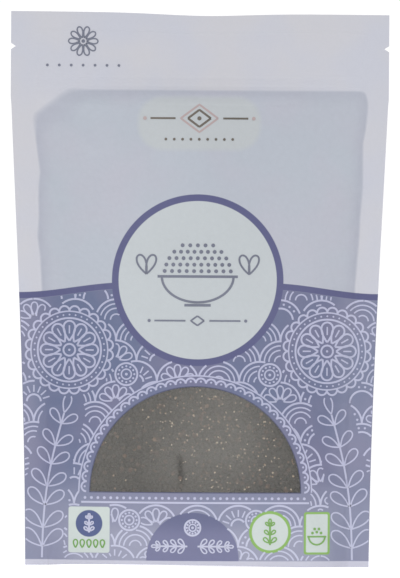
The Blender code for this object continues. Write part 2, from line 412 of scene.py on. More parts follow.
def side_faces(front_edge, back_edge, foot_edge):
    """The right edge of the pack, between its two sheets, from the foot up."""
    faces = [[*foot_edge, back_edge[1], front_edge[1]]]
    for row in range(1, len(front_edge) - 1):
        faces.append([front_edge[row], back_edge[row], back_edge[row + 1], front_edge[row + 1]])
    return [[int(corner) for corner in ring] for ring in faces]


front_faces = list(cell_faces(front_index, window_kinds, 1))
back_faces = [ring[::-1] for ring in cell_faces(back_index, np.ones_like(back_index), 1)]
foot_faces = [ring[::-1] for ring in cell_faces(foot_index, np.ones_like(foot_index), 1)]
edge_faces = side_faces(front_index[:, -1], back_index[:, -1], foot_index[:, -1])
edge_faces += [ring[::-1] for ring in side_faces(front_index[:, 0], back_index[:, 0], foot_index[:, 0])]
top_front, top_back = front_index[-1].tolist(), back_index[-1].tolist()
for column in range(len(places) - 1):
    edge_faces.append([*top_front[column:column + 2], *top_back[column:column + 2][::-1]])

# The window is die-cut in the printed layer. Behind its edge lies a shallow pocket in this model,
# wider than the window, so that the grain runs on behind the print with no wall in sight.
POCKET_MARGIN = 0.003
POCKET_BACK = -0.0078


def grown(x, z, margin):
    """The same place in a window that is larger by the margin on every side."""
    across = (WINDOW_RADIUS + margin) / WINDOW_RADIUS
    upward = (WINDOW_RADIUS + 2 * margin) / WINDOW_RADIUS
    return WINDOW_MIDDLE + (x - WINDOW_MIDDLE) * across, WINDOW_SILL - margin + (z - WINDOW_SILL) * upward


hole = open_edges(front_faces + back_faces + foot_faces + edge_faces)
hole_ring = [min(hole)]
while hole[hole_ring[-1]] != hole_ring[0]:
    hole_ring.append(hole[hole_ring[-1]])
hole_x, hole_z = front_x.ravel()[hole_ring], front_z.ravel()[hole_ring]
pocket_x, pocket_z = grown(hole_x, hole_z, POCKET_MARGIN)
pocket_rings = [
    film_point(hole_x, hole_z, -1, -RIM),
    film_point(pocket_x, pocket_z, -1, -2 * RIM),
    np.stack([pocket_x, np.full_like(pocket_x, POCKET_BACK), pocket_z], axis=1),
]
pocket_faces = []
outer_ring = hole_ring
for ring_points in pocket_rings:
    inner_ring = list(range(len(film_points), len(film_points) + len(ring_points)))
    film_points = np.concatenate([film_points, ring_points])
    for at in range(len(outer_ring)):
        pocket_faces.append([outer_ring[at], outer_ring[at - 1], inner_ring[at - 1], inner_ring[at]])
    outer_ring = inner_ring
pocket_faces.append(outer_ring[::-1])

# The laminate is printed in fields: a pale lavender film, which looks darker where grain lies behind it, and
# a violet lower part under a dark border line. The violet is painted paler to the foot and the sides, as
# painted light and painted reflection, with a painted gleam low in the middle.
SHARP_ANGLE = 50
SOFT = 0.00025
FIELD_TOP = 0.1995
FIELD_INSETS = (
    # height, inset of the field from the left seal and from the right one
    (0.1210, 0.0002, 0.0004),
    (0.1290, 0.0001, 0.0001),
    (0.1380, -0.0007, -0.0003),
    (0.1460, 0.0002, -0.0002),
    (0.1530, 0.0004, -0.0004),
    (0.1590, 0.0007, -0.0006),
    (0.1650, 0.0016, -0.0003),
    (0.1700, 0.0011, 0.0000),
    (0.1780, 0.0004, 0.0003),
    (0.1830, 0.0002, -0.0005),
    (0.1930, 0.0002, -0.0011),
)
FIELD_ROUND = 0.0008
FIELD_SOFT = 0.0010
CORNER_SOFT = 0.0018
FIELD_SHADE_REACH = 6.0
EDGE_SHADE_SHARE = 0.6
LEFT_CORNER = (-0.0692, 0.1888, -0.0556, 0.1988)
RIGHT_CORNER = (0.0692, 0.2000, 0.0722, 0.1918)
BORDER_HEIGHTS = (0.1189, 0.1146)
BORDER_BEND = (0.030, 0.075)
BORDER_BAND = 0.0027
PAINTED_LIGHT_HEIGHTS = (0.046, 0.020)
PAINTED_LIGHT_SHARE = 0.6
PAINTED_LIGHT_MIDDLE = -0.004
PAINTED_LIGHT_SIDES = (0.056, 0.068)
PAINTED_LIGHT_ASIDE = 0.35
GLEAM_HEIGHTS = (0.0205, 0.012)
GLEAM_SIDES = (0.060, 0.048)
FOOT_STRIP = 0.0026
DISC_MIDDLE = -0.0004
DOME_MIDDLE = -0.0019
# across, up and radius of the discs
RING = (DISC_MIDDLE, 0.120, 0.0359)
DISC = (DISC_MIDDLE, 0.120, 0.0331)
DOME = (DOME_MIDDLE, 0.0035, 0.0193)
WINDOW_BORDER = 0.0004
INK_PATCHES = 32.0
INK_SPECKS = 900.0
GRAIN_DENTS = 430.0
WRINKLES = 170.0
WRINKLE_HEIGHT = 0.00016
GLOSS_PATCHES = 60.0
TONE_FLOOR = 0.955


def fill_edge(x, z):
    """Distance inside the part of a panel that grain lies behind, in widths of its soft edge."""
    height, left, right = np.array(FIELD_INSETS).T
    inset = np.where(x < 0, np.interp(z, height, left), np.interp(z, height, right))
    edges = [from_seal(x, z) - inset, FIELD_TOP - z]
    for x0, z0, x1, z1 in (LEFT_CORNER, RIGHT_CORNER):
        length = math.hypot(x1 - x0, z1 - z0)
        edges.append(((x - x0) * (z1 - z0) - (z - z0) * (x1 - x0)) / length)
    inside = -FIELD_ROUND * np.log(np.sum(np.exp(-np.stack(edges) / FIELD_ROUND), axis=0))
    x0, z0, x1, z1 = LEFT_CORNER
    return inside / (FIELD_SOFT + CORNER_SOFT * ease(z, 2 * z0 - z1, z0) * ease(-x, -x1 - 0.01, -x1))


def set_inputs(tree, node, inputs):
    """Sets a node's inputs, given by name or number, to plain values or to links."""
    for name, value in inputs.items():
        if isinstance(value, bpy.types.NodeSocket):
            tree.links.new(value, node.inputs[name])
        else:
            node.inputs[name].default_value = value


def shader_node(tree, kind, inputs=None, **settings):
    node = tree.nodes.new(kind)
    for name, setting in settings.items():
        setattr(node, name, setting)
    set_inputs(tree, node, inputs or {})
    return node


def calc(tree, operation, *values, clamp=False):
    node = shader_node(tree, "ShaderNodeMath", dict(enumerate(values)), operation=operation, use_clamp=clamp)
    return node.outputs[0]


def noise(tree, place, scale, detail=2.0):
    inputs = {"Vector": place, "Scale": scale, "Detail": detail}
    return shader_node(tree, "ShaderNodeTexNoise", inputs).outputs["Fac"]


def coordinate(tree, place, axis):
    return shader_node(tree, "ShaderNodeSeparateXYZ", {0: place}).outputs[axis]


def between(tree, value, start, end, low=0.0, high=1.0):
    """Smooth change from low, where the value is at start, to high, where it is at end."""
    ranges = {"Value": value, 1: start, 2: end, 3: low, 4: high}
    return shader_node(tree, "ShaderNodeMapRange", ranges, interpolation_type="SMOOTHSTEP").outputs[0]


def soft_step(tree, inside, softness):
    """1 inside an edge, 0 outside it, and half way on it."""
    return calc(tree, "ADD", calc(tree, "DIVIDE", inside, softness), 0.5, clamp=True)


def lay(tree, below, *layers):
    """A colour with others laid over it, each where its mask is 1."""
    for mask, above in layers:
        inputs = {0: mask, 6: below, 7: above}
        below = shader_node(tree, "ShaderNodeMix", inputs, data_type="RGBA").outputs[2]
    return below


def new_group(name, *inputs):
    """A shader node group with named number sockets, or a vector socket for Position."""
    group = bpy.data.node_groups.new(name, "ShaderNodeTree")
    for label in inputs:
        kind = "NodeSocketVector" if label == "Position" else "NodeSocketFloat"
        group.interface.new_socket(label, in_out="INPUT", socket_type=kind)
    return group, group.nodes.new("NodeGroupInput").outputs


def put_out(group, results):
    """Gives a group one number socket for each of its results."""
    for label in results:
        group.interface.new_socket(label, in_out="OUTPUT", socket_type="NodeSocketFloat")
    set_inputs(group, group.nodes.new("NodeGroupOutput"), results)
    return group


def use_group(tree, group, inputs):
    return shader_node(tree, "ShaderNodeGroup", inputs, node_tree=group).outputs


def new_material(name):
    """A material, its nodes, and the place of each point that it covers."""
    material = bpy.data.materials.new(name)
    material.use_nodes = True
    tree = material.node_tree
    return material, tree, shader_node(tree, "ShaderNodeTexCoord").outputs["Object"]


def shade(tree, inputs):
    set_inputs(tree, tree.nodes["Principled BSDF"], inputs)


def marked(tree, name):
    """The number that mark() gave each point."""
    return shader_node(tree, "ShaderNodeAttribute", attribute_name=name).outputs["Fac"]


def bumps(tree, distance, height):
    return shader_node(tree, "ShaderNodeBump", {"Distance": distance, "Height": height}).outputs["Normal"]


def screen(red, green, blue):
    """A colour as it looks on a screen, 0 to 255, in the linear values that shaders take."""
    return (*(((value / 255 + 0.055) / 1.055) ** 2.4 for value in (red, green, blue)), 1.0)


def printed_panel():
    """Mask of a rectangular printed field with round corners."""
    sizes = ("Middle X", "Middle Z", "Half Width", "Half Height", "Corner", "Softness")
    group, given = new_group("printed panel", "Position", *sizes)
    beyond = []
    for axis, middle, half in (("X", "Middle X", "Half Width"), ("Z", "Middle Z", "Half Height")):
        offset = calc(group, "SUBTRACT", coordinate(group, given["Position"], axis), given[middle])
        straight = calc(group, "SUBTRACT", given[half], given["Corner"])
        beyond.append(calc(group, "SUBTRACT", calc(group, "ABSOLUTE", offset), straight))
    outward = [calc(group, "MAXIMUM", part, 0.0) for part in beyond]
    square = calc(group, "ADD", *(calc(group, "MULTIPLY", part, part) for part in outward))
    inward = calc(group, "MINIMUM", calc(group, "MAXIMUM", *beyond), 0.0)
    distance = calc(group, "ADD", calc(group, "SQRT", square), inward)
    inside = calc(group, "SUBTRACT", given["Corner"], distance)
    return put_out(group, {"Mask": soft_step(group, inside, given["Softness"])})


def print_border():
    """Masks of the violet lower print, the border line along its top, and where the print is painted paler:
    painted light to the foot and sides, and a painted gleam.
    """
    group, given = new_group("print border", "Position")
    across, upward = (coordinate(group, given["Position"], axis) for axis in "XZ")
    aside = calc(group, "ABSOLUTE", across)
    top = between(group, aside, *BORDER_BEND, *BORDER_HEIGHTS)
    under = calc(group, "SUBTRACT", top, upward)
    below_line = soft_step(group, calc(group, "SUBTRACT", under, BORDER_BAND), SOFT)
    # Painted light and painted reflection: paler towards the foot and towards the sides.
    at_foot = between(group, upward, *PAINTED_LIGHT_HEIGHTS, 0.0, PAINTED_LIGHT_SHARE)
    from_middle = calc(group, "ABSOLUTE", calc(group, "SUBTRACT", across, PAINTED_LIGHT_MIDDLE))
    at_side = between(group, from_middle, *PAINTED_LIGHT_SIDES, 0.0, PAINTED_LIGHT_ASIDE)
    # A painted gleam, low in the middle of the print.
    gleam = between(group, upward, *GLEAM_HEIGHTS, 0.0, 1 - PAINTED_LIGHT_SHARE)
    gleam = calc(group, "MULTIPLY", gleam, between(group, aside, *GLEAM_SIDES))
    return put_out(group, {
        "Below": below_line,
        "Line": calc(group, "SUBTRACT", soft_step(group, under, SOFT), below_line),
        "Painted Light": calc(group, "ADD", calc(group, "MAXIMUM", at_foot, at_side), gleam),
    })


def film_finish():
    """Unevenness of the laminate: slow changes in its ink, fine wrinkles, and grain pressed on it; also
    painted shade along the inner edges of the part that grain lies behind.
    """
    group, given = new_group("film finish", "Position", "Grain Edge")
    place = given["Position"]
    behind = calc(group, "ADD", given["Grain Edge"], 0.5, clamp=True)
    # Painted shade: darkest at the edge of the part that grain lies behind, gone some widths inside it.
    rim = between(group, given["Grain Edge"], 0.0, FIELD_SHADE_REACH, EDGE_SHADE_SHARE, 0.0)
    slow = noise(group, place, INK_PATCHES)
    cells = {"Vector": place, "Scale": GRAIN_DENTS, "Smoothness": 0.6}
    grains = shader_node(group, "ShaderNodeTexVoronoi", cells, feature="SMOOTH_F1").outputs["Distance"]
    press = calc(group, "MULTIPLY", calc(group, "SUBTRACT", 0.6, grains), behind)
    tone = TONE_FLOOR
    for part, share in ((slow, 0.05), (noise(group, place, INK_SPECKS, 1.0), 0.03), (press, 0.03)):
        tone = calc(group, "MULTIPLY_ADD", part, share, tone)
    return put_out(group, {
        "Behind": behind,
        "Painted Edge Shade": calc(group, "MULTIPLY", rim, behind),
        "Slow": shader_node(group, "ShaderNodeMapRange", {"Value": slow, 1: 0.38, 2: 0.62}).outputs[0],
        "Tone": tone,
        "Height": calc(group, "MULTIPLY_ADD", press, 0.5, noise(group, place, WRINKLES, 3.0)),
        "Roughness": calc(group, "MULTIPLY_ADD", noise(group, place, GLOSS_PATCHES), 0.16, 0.36),
    })


PANEL_MASK = printed_panel()
BORDER_MASKS = print_border()
FILM_FINISH = film_finish()

PALE_FILM = (screen(208, 208, 215), screen(203, 205, 216))
GRAIN_FIELD = (screen(189, 191, 203), screen(185, 191, 202))
# FIELD_SHADE is painted shade, laid along the inner edges of the part of a panel that grain lies behind.
FIELD_SHADE = screen(177, 180, 194)
VIOLET = (screen(119, 120, 150), screen(103, 113, 145))
# A paler violet: painted light on the print, and the foot film's own uneven tone.
PALE_VIOLET_AND_PAINTED_LIGHT = screen(158, 160, 182)
DARK_VIOLET = screen(90, 92, 133)
DISC_PALE = screen(196, 202, 206)
# The dome's violet, and a paler violet laid as a painted gleam on its lower part.
DOME_VIOLET = (screen(104, 108, 142), screen(121, 123, 156))
STRIP_PALE = screen(204, 204, 218)
EDGE_SLATE = screen(80, 84, 112)
PATCH_PALE = screen(191, 196, 200)
BADGE_CREAM = screen(207, 216, 213)
BADGE_GREEN = screen(140, 184, 96)
BADGE_NAVY = screen(84, 96, 140)


def panel_mask(tree, place, left, right, low, high, corner, softness=SOFT):
    inputs = {
        "Position": place,
        "Middle X": (left + right) / 2,
        "Middle Z": (low + high) / 2,
        "Half Width": (right - left) / 2,
        "Half Height": (high - low) / 2,
        "Corner": corner,
        "Softness": softness,
    }
    return use_group(tree, PANEL_MASK, inputs)["Mask"]


def disc_mask(tree, place, x, z, radius):
    """A disc is a panel that is nothing but corners."""
    return panel_mask(tree, place, x - radius, x + radius, z - radius, z + radius, radius)


def under_mask(tree, place, height):
    """Mask of what lies lower than a height."""
    return soft_step(tree, calc(tree, "SUBTRACT", height, coordinate(tree, place, "Z")), SOFT)


def shared_fields(tree, place, finish):
    """The fields that front and back have alike: pale film, grain field with painted shade along its edges,
    violet print painted paler by painted light, and border line.
    """
    border = use_group(tree, BORDER_MASKS, {"Position": place})
    pale, grain, violet = (
        lay(tree, first, (finish["Slow"], second)) for first, second in (PALE_FILM, GRAIN_FIELD, VIOLET)
    )
    return lay(
        tree,
        pale,
        (finish["Behind"], grain),
        (finish["Painted Edge Shade"], FIELD_SHADE),
        (border["Below"], lay(tree, violet, (border["Painted Light"], PALE_VIOLET_AND_PAINTED_LIGHT))),
        (border["Line"], DARK_VIOLET),
    )


def inset(box, margin):
    """A box with each of its sides moved in."""
    left, right, low, high = box
    return left + margin, right - margin, low + margin, high - margin


# Three small badges stand along the foot of the front: a square one, a round one and a tag. Boxes
# are given by left, right, low and high, and discs by the place across, the height and the radius.
SQUARE_BADGE = (-0.0539, -0.0366, 0.0057, 0.0249)
TAG_BADGE = (0.0447, 0.0556, 0.0054, 0.0232)
PATCH = (-0.0257, 0.0255, 0.1745, 0.1968)
SQUARE_DISC = ((SQUARE_BADGE[0] + SQUARE_BADGE[1]) / 2, 0.0179, 0.0056)
ROUND_BADGE = (0.0305, 0.0148, 0.0088)
ROUND_LINE = 0.0012
TAG_LINE = 0.0009
BADGE_CORNER = 0.0010
TAG_CORNER = 0.0006
PATCH_CORNER = 0.010
PATCH_SOFT = 0.0022


def front_fields(tree, place, finish):
    x, z, radius = ROUND_BADGE
    # Painted gleam: the dome turns paler towards its foot.
    dome_gleam = between(tree, coordinate(tree, place, "Z"), *GLEAM_HEIGHTS)
    arc = disc_mask(tree, place, WINDOW_MIDDLE, WINDOW_SILL, WINDOW_RADIUS + WINDOW_BORDER)
    low = under_mask(tree, place, WINDOW_SILL - WINDOW_BORDER)
    return lay(
        tree,
        shared_fields(tree, place, finish),
        (panel_mask(tree, place, *PATCH, PATCH_CORNER, PATCH_SOFT), PATCH_PALE),
        (disc_mask(tree, place, *RING), DARK_VIOLET),
        (disc_mask(tree, place, *DISC), DISC_PALE),
        (disc_mask(tree, place, *DOME), lay(tree, DOME_VIOLET[0], (dome_gleam, DOME_VIOLET[1]))),
        (calc(tree, "SUBTRACT", arc, low, clamp=True), EDGE_SLATE),
        (panel_mask(tree, place, *SQUARE_BADGE, BADGE_CORNER), BADGE_CREAM),
        (disc_mask(tree, place, *SQUARE_DISC), BADGE_NAVY),
        (disc_mask(tree, place, x, z, radius), BADGE_GREEN),
        (disc_mask(tree, place, x, z, radius - ROUND_LINE), BADGE_CREAM),
        (panel_mask(tree, place, *TAG_BADGE, BADGE_CORNER), BADGE_GREEN),
        (panel_mask(tree, place, *inset(TAG_BADGE, TAG_LINE), TAG_CORNER), BADGE_CREAM),
        (under_mask(tree, place, FOOT_STRIP), STRIP_PALE),
    )


# The back's print has the same colours. A plain pale label panel takes the place of the window.
LABEL = (-0.0390, 0.0390, 0.0240, 0.0960)
LABEL_CORNER = 0.005
LABEL_LINE = 0.0009


def back_fields(tree, place, finish):
    return lay(
        tree,
        shared_fields(tree, place, finish),
        (panel_mask(tree, place, *inset(LABEL, -LABEL_LINE), LABEL_CORNER + LABEL_LINE), DARK_VIOLET),
        (panel_mask(tree, place, *LABEL, LABEL_CORNER), DISC_PALE),
        (under_mask(tree, place, FOOT_STRIP), STRIP_PALE),
    )


def foot_fields(tree, place, finish):
    return lay(tree, VIOLET[0], (finish["Slow"], PALE_VIOLET_AND_PAINTED_LIGHT))


def printed_film(name, lay_fields):
    """Satin laminate film, with its fields of print."""
    material, tree, place = new_material(name)
    finish = use_group(tree, FILM_FINISH, {"Position": place, "Grain Edge": marked(tree, "grain_edge")})
    inputs = {0: 1.0, 6: lay_fields(tree, place, finish), 7: finish["Tone"]}
    toned = shader_node(tree, "ShaderNodeMix", inputs, data_type="RGBA", blend_type="MULTIPLY").outputs[2]
    normal = bumps(tree, WRINKLE_HEIGHT, finish["Height"])
    shade(tree, {"Base Color": toned, "Roughness": finish["Roughness"], "Normal": normal})
    return material


face_groups = (front_faces + edge_faces + pocket_faces, back_faces, foot_faces)
film_faces = sum(face_groups, [])
face_print = [number for number, faces in enumerate(face_groups) for _ in faces]
film_points, film_faces = used_points(film_points, film_faces)
film_inks = [
    printed_film("front print on film", front_fields),
    printed_film("back print on film", back_fields),
    printed_film("foot film", foot_fields),
]
film = new_piece("printed_film_pouch", film_points, film_faces, film_inks, face_print)
mark(film, "grain_edge", fill_edge(film_points[:, 0], film_points[:, 2]))
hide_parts("pouch")

# The violet part carries fine pale line work, and small dark and green ornaments mark the pale
# fields. Each printed line is a thin ribbon in this model, bent to follow the film under it.
FINE_LINE = 0.00062
BOLD_LINE = 0.00080
BEAD = 0.00052
INK_LIFT = 0.00006
INK_SINK = 0.00004
INK_LAYERS = 7
INK_LAYER = 0.00001
LINE_STEP = 0.00065
SHORTEST_LINE = 0.0018
BEAD_SIDES = 8
PETAL_STEPS = 24
PETAL_ROUND = 0.65
STEM_STEPS = 40
LEAF_STRETCH = (3, 36)
LEAF_LEAN = 48
SCALE_COLUMNS = 9


def even_steps(path):
    """The same path with points at even steps along it."""
    path = np.asarray(path, float)
    length = np.concatenate([[0.0], np.cumsum(np.hypot(*np.diff(path, axis=0).T))])
    steps = np.linspace(0, length[-1], max(2, math.ceil(length[-1] / LINE_STEP) + 1))
    return np.stack([np.interp(steps, length, path[:, 0]), np.interp(steps, length, path[:, 1])], axis=1)


def toward(x, z, distance, heading):
    """The place at a distance from x, z. The heading is in degrees, anticlockwise from the right."""
    turn = math.radians(heading)
    return x + distance * math.cos(turn), z + distance * math.sin(turn)


class LineWork:
    """Thin printed lines and beads in one ink, which stop where something else is printed."""

    def __init__(self, side, *taken):
        self.side = side
        self.taken = list(taken)
        self.runs = []
        self.beads = []

    def room(self, path):
        """How far each point of the path is from the nearest place that is taken."""
        distances = [clear(path[:, 0], path[:, 1]) for clear in self.taken]
        return np.min([np.ones(len(path)), *distances], axis=0)

    def keep(self, run, width):
        """Takes a run of points, unless it is a stub."""
        if (len(run) - 1) * LINE_STEP > SHORTEST_LINE:
            self.runs.append((np.array(run), width))

    def line(self, path, width=FINE_LINE):
        path = even_steps(path)
        room = self.room(path)
        run = []
        for at, point in enumerate(path):
            if at and (room[at] > 0) != (room[at - 1] > 0):
                share = room[at - 1] / (room[at - 1] - room[at])
                run.append(path[at - 1] + share * (point - path[at - 1]))
            if room[at] > 0:
                run.append(point)
            else:
                self.keep(run, width)
                run = []
        self.keep(run, width)

    def bead(self, x, z, radius=BEAD):
        if self.room(np.array([[x, z]]))[0] > radius:
            self.beads.append((x, z, radius))

    def bead_ring(self, x, z, ring, count, radius=BEAD):
        for heading in np.arange(count) * 360 / count:
            self.bead(*toward(x, z, ring, heading), radius)

    def ribbon(self, run, width, lift):
        """Four rows of points along a line: the two edges of its face and the two below them."""
        ahead = np.gradient(run, axis=0)
        ahead /= np.linalg.norm(ahead, axis=1, keepdims=True)
        left = np.stack([-ahead[:, 1], ahead[:, 0]], axis=1) * width / 2
        rows = []
        for hand, height in ((1, lift), (-1, lift), (-1, -INK_SINK), (1, -INK_SINK)):
            edge = run + hand * left
            rows.append(film_point(edge[:, 0], edge[:, 1], self.side, height))
        return np.stack(rows, axis=1).reshape(-1, 3)

    def printed(self, name, material):
        """All the lines and beads as one piece. Lines that cross lie one over the other, never level."""
        points = []
        faces = []
        start = 0
        for number, (run, width) in enumerate(self.runs):
            points.append(self.ribbon(run, width, INK_LIFT + INK_LAYER * (number % INK_LAYERS)))
            for at in range(start, start + 4 * (len(run) - 1), 4):
                for corner in range(4):
                    after = (corner + 1) % 4
                    faces.append([at + corner, at + after, at + 4 + after, at + 4 + corner])
            end = start + 4 * len(run)
            faces += [[start + 3, start + 2, start + 1, start], [end - 4, end - 3, end - 2, end - 1]]
            start = end
        turns = np.linspace(0, 2 * math.pi, BEAD_SIDES, endpoint=False)
        for x, z, radius in self.beads:
            around_x, around_z = x + radius * np.cos(turns), z + radius * np.sin(turns)
            for lift in (INK_LIFT + INK_LAYER * INK_LAYERS, -INK_SINK):
                points.append(film_point(around_x, around_z, self.side, lift))
            face = list(range(start, start + BEAD_SIDES))
            faces += [face, [corner + BEAD_SIDES for corner in reversed(face)]]
            for at in face:
                after = start + (at + 1 - start) % BEAD_SIDES
                faces.append([at, at + BEAD_SIDES, after + BEAD_SIDES, after])
            start += 2 * BEAD_SIDES
        if self.side > 0:
            faces = [ring[::-1] for ring in faces]
        return new_piece(name, np.concatenate(points), faces, [material])


def ink(name, first, second, painted_light=None):
    """Printed ink, which thins a little here and there, and may be painted paler where painted light falls
    on the violet print.
    """
    material, tree, place = new_material(name)
    finish = use_group(tree, FILM_FINISH, {"Position": place, "Grain Edge": 1.0})
    colour = lay(tree, first, (finish["Slow"], second))
    if painted_light:
        border = use_group(tree, BORDER_MASKS, {"Position": place})
        colour = lay(tree, colour, (border["Painted Light"], painted_light))
    shade(tree, {"Base Color": colour, "Roughness": finish["Roughness"]})
    return material


def clear_of_disc(middle_x, middle_z, radius):
    return lambda x, z: np.hypot(x - middle_x, z - middle_z) - radius


def clear_of_panel(left, right, low, high, margin=0.0006):
    def clear(x, z):
        across = np.maximum(left - x, x - right)
        return np.maximum(across, np.maximum(low - z, z - high)) - margin
    return clear


def clear_of_diamond(middle_x, middle_z, half_width, half_height):
    slope = half_width * half_height / math.hypot(half_width, half_height)
    return lambda x, z: (np.abs(x - middle_x) / half_width + np.abs(z - middle_z) / half_height - 1) * slope


def clear_of_window(around, below):
    def clear(x, z):
        outside = np.hypot(x - WINDOW_MIDDLE, z - WINDOW_SILL) - WINDOW_RADIUS
        return np.maximum(outside - around, WINDOW_SILL - below - z)
    return clear


def clear_of_path(path, margin):
    path = even_steps(path)
    return lambda x, z: np.min(np.hypot(x[:, None] - path[:, 0], z[:, None] - path[:, 1]), axis=1) - margin


def within_print(x, z):
    """Distance inside the violet print."""
    high, low = BORDER_HEIGHTS
    top = high + (low - high) * ease(np.abs(x), *BORDER_BEND) - BORDER_BAND
    return np.minimum(np.minimum(top - z, half_width(z) - np.abs(x)), z - FOOT_STRIP) - FINE_LINE / 2


def circle(x, z, radius, start=0.0, turn=360.0, squash=1.0):
    """Points along a circle or an arc, anticlockwise from start, in degrees."""
    count = max(8, math.ceil(math.radians(abs(turn)) * radius / LINE_STEP))
    angles = np.radians(np.linspace(start, start + turn, count + 1))
    return np.stack([x + radius * np.cos(angles), z + squash * radius * np.sin(angles)], axis=1)


def petal(x, z, heading, near, far, width):
    """A petal's outline that points away from x, z: narrow at its near end and round at its far one."""
    turns = np.linspace(0, 2 * math.pi, PETAL_STEPS + 1)
    along = near + (far - near) * (1 - np.cos(turns)) / 2
    aside = PETAL_ROUND * width * np.sin(turns) * np.sin(turns / 2)
    cos, sin = math.cos(math.radians(heading)), math.sin(math.radians(heading))
    return np.stack([x + along * cos - aside * sin, z + along * sin + aside * cos], axis=1)


def diamond(x, z, half_width, half_height):
    corners = ((1, 0), (0, 1), (-1, 0), (0, -1), (1, 0))
    return [(x + across * half_width, z + up * half_height) for across, up in corners]


def scallops(work, x, z, radius, half, count, turn=360):
    """Small arches side by side along a circle or an arc. Gives the heading of each."""
    headings = (np.arange(count) + 0.5) * turn / count
    for heading in headings:
        work.line(circle(*toward(x, z, radius, heading), half, heading - 90, 180), BOLD_LINE)
    return headings


def rosette(work, x, z, radius, petals):
    """A round flower: a beaded heart, petals with a vein each, a beaded ring and a scalloped rim."""
    work.line(circle(x, z, 0.13 * radius), BOLD_LINE)
    work.bead(x, z)
    for heading in np.arange(petals) * 360 / petals:
        work.line(petal(x, z, heading, 0.20 * radius, 0.64 * radius, 0.26 * radius), BOLD_LINE)
        work.line([toward(x, z, share * radius, heading) for share in (0.36, 0.54)])
    work.line(circle(x, z, 0.70 * radius), BOLD_LINE)
    work.bead_ring(x, z, 0.775 * radius, 3 * petals, 0.8 * BEAD)
    work.line(circle(x, z, 0.85 * radius))
    rim = 0.86 * radius
    scallops(work, x, z, rim, rim * math.sin(math.pi / 2 / petals), 2 * petals)
    work.taken.append(clear_of_disc(x, z, 1.03 * radius))


def medallion(work, x, z, radius):
    work.line(circle(x, z, 0.92 * radius), BOLD_LINE)
    work.line(circle(x, z, 0.42 * radius))
    work.bead(x, z, 1.2 * BEAD)
    work.bead_ring(x, z, 0.67 * radius, 12, 0.9 * BEAD)
    work.taken.append(clear_of_disc(x, z, 1.1 * radius))


def diamond_chain(work, x, heights_up, half_width, half_height):
    for z in heights_up:
        work.line(diamond(x, z, half_width, half_height), BOLD_LINE)
        work.line(diamond(x, z, 0.62 * half_width, 0.62 * half_height))
        for aside, upward in ((0, 0), (0.28, 0), (-0.28, 0), (0, 0.28), (0, -0.28)):
            work.bead(x + aside * half_width, z + upward * half_height, 0.9 * BEAD)
        work.taken.append(clear_of_diamond(x, z, 1.1 * half_width, 1.1 * half_height))


def sprig(work, foot, tip, bow, pairs, leaf):
    """A stem with paired leaves, which bows aside between its foot and its tip."""
    share = np.linspace(0, 1, STEM_STEPS)
    foot, tip = np.array(foot), np.array(tip)
    aside = np.array([-(tip - foot)[1], (tip - foot)[0]]) * bow
    stem = foot + share[:, None] * (tip - foot) + np.sin(share * math.pi)[:, None] * aside
    work.line(stem, BOLD_LINE)
    for at in np.linspace(*LEAF_STRETCH, pairs).astype(int):
        ahead = math.degrees(math.atan2(*(stem[at + 1] - stem[at])[::-1]))
        size = leaf * (1.0 - 0.35 * at / STEM_STEPS)
        for lean in (-LEAF_LEAN, LEAF_LEAN):
            work.line(petal(*stem[at], ahead + lean, 0.0004, size, 0.42 * size))
    work.line(petal(*stem[-1], ahead, 0.0002, 0.7 * leaf, 0.30 * leaf))
    work.taken.append(clear_of_path(stem, 0.80 * leaf))


def scale(work, x, z, radius, kind):
    """One fish scale: an arch that holds arches, a fan, beads or petals."""
    work.line(circle(x, z, radius, 0, 180), BOLD_LINE)
    if kind == "arches":
        for share in (0.78, 0.56, 0.28):
            work.line(circle(x, z, share * radius, 0, 180))
    elif kind == "fan":
        for heading in np.linspace(18, 162, 7):
            work.line([toward(x, z, share * radius, heading) for share in (0.46, 0.80)])
        work.line(circle(x, z, 0.34 * radius, 0, 180), BOLD_LINE)
    elif kind == "beads":
        for heading in np.linspace(14, 166, 8):
            work.bead(*toward(x, z, 0.80 * radius, heading))
        work.line(circle(x, z, 0.60 * radius, 0, 180), BOLD_LINE)
    else:
        for heading in (22, 56, 90, 124, 158):
            work.line(petal(x, z, heading, 0.18 * radius, 0.84 * radius, 0.32 * radius))


def scale_ground(work, radius, seed):
    """Rows of scales over all the violet print that is left."""
    draw = random.Random(seed)
    for row in range(math.ceil(BORDER_HEIGHTS[0] / radius)):
        for column in range(-SCALE_COLUMNS, SCALE_COLUMNS + 1):
            x = (2 * column + row % 2) * radius
            scale(work, x, row * radius, radius, draw.choice(("arches", "arches", "fan", "beads", "petals")))


# The pale ink's third colour is painted light, laid where the violet print is painted paler.
PALE_INK = ink("pale violet ink", screen(190, 191, 218), screen(181, 184, 210), screen(203, 205, 226))
SCALE_RADIUS = 0.0086
SCALLOP_RING = 0.0016
SCALLOPS = 34
RING_GAP = 0.0010
BAND_DEPTH = 0.0044
BAND_BEADS = 0.0027

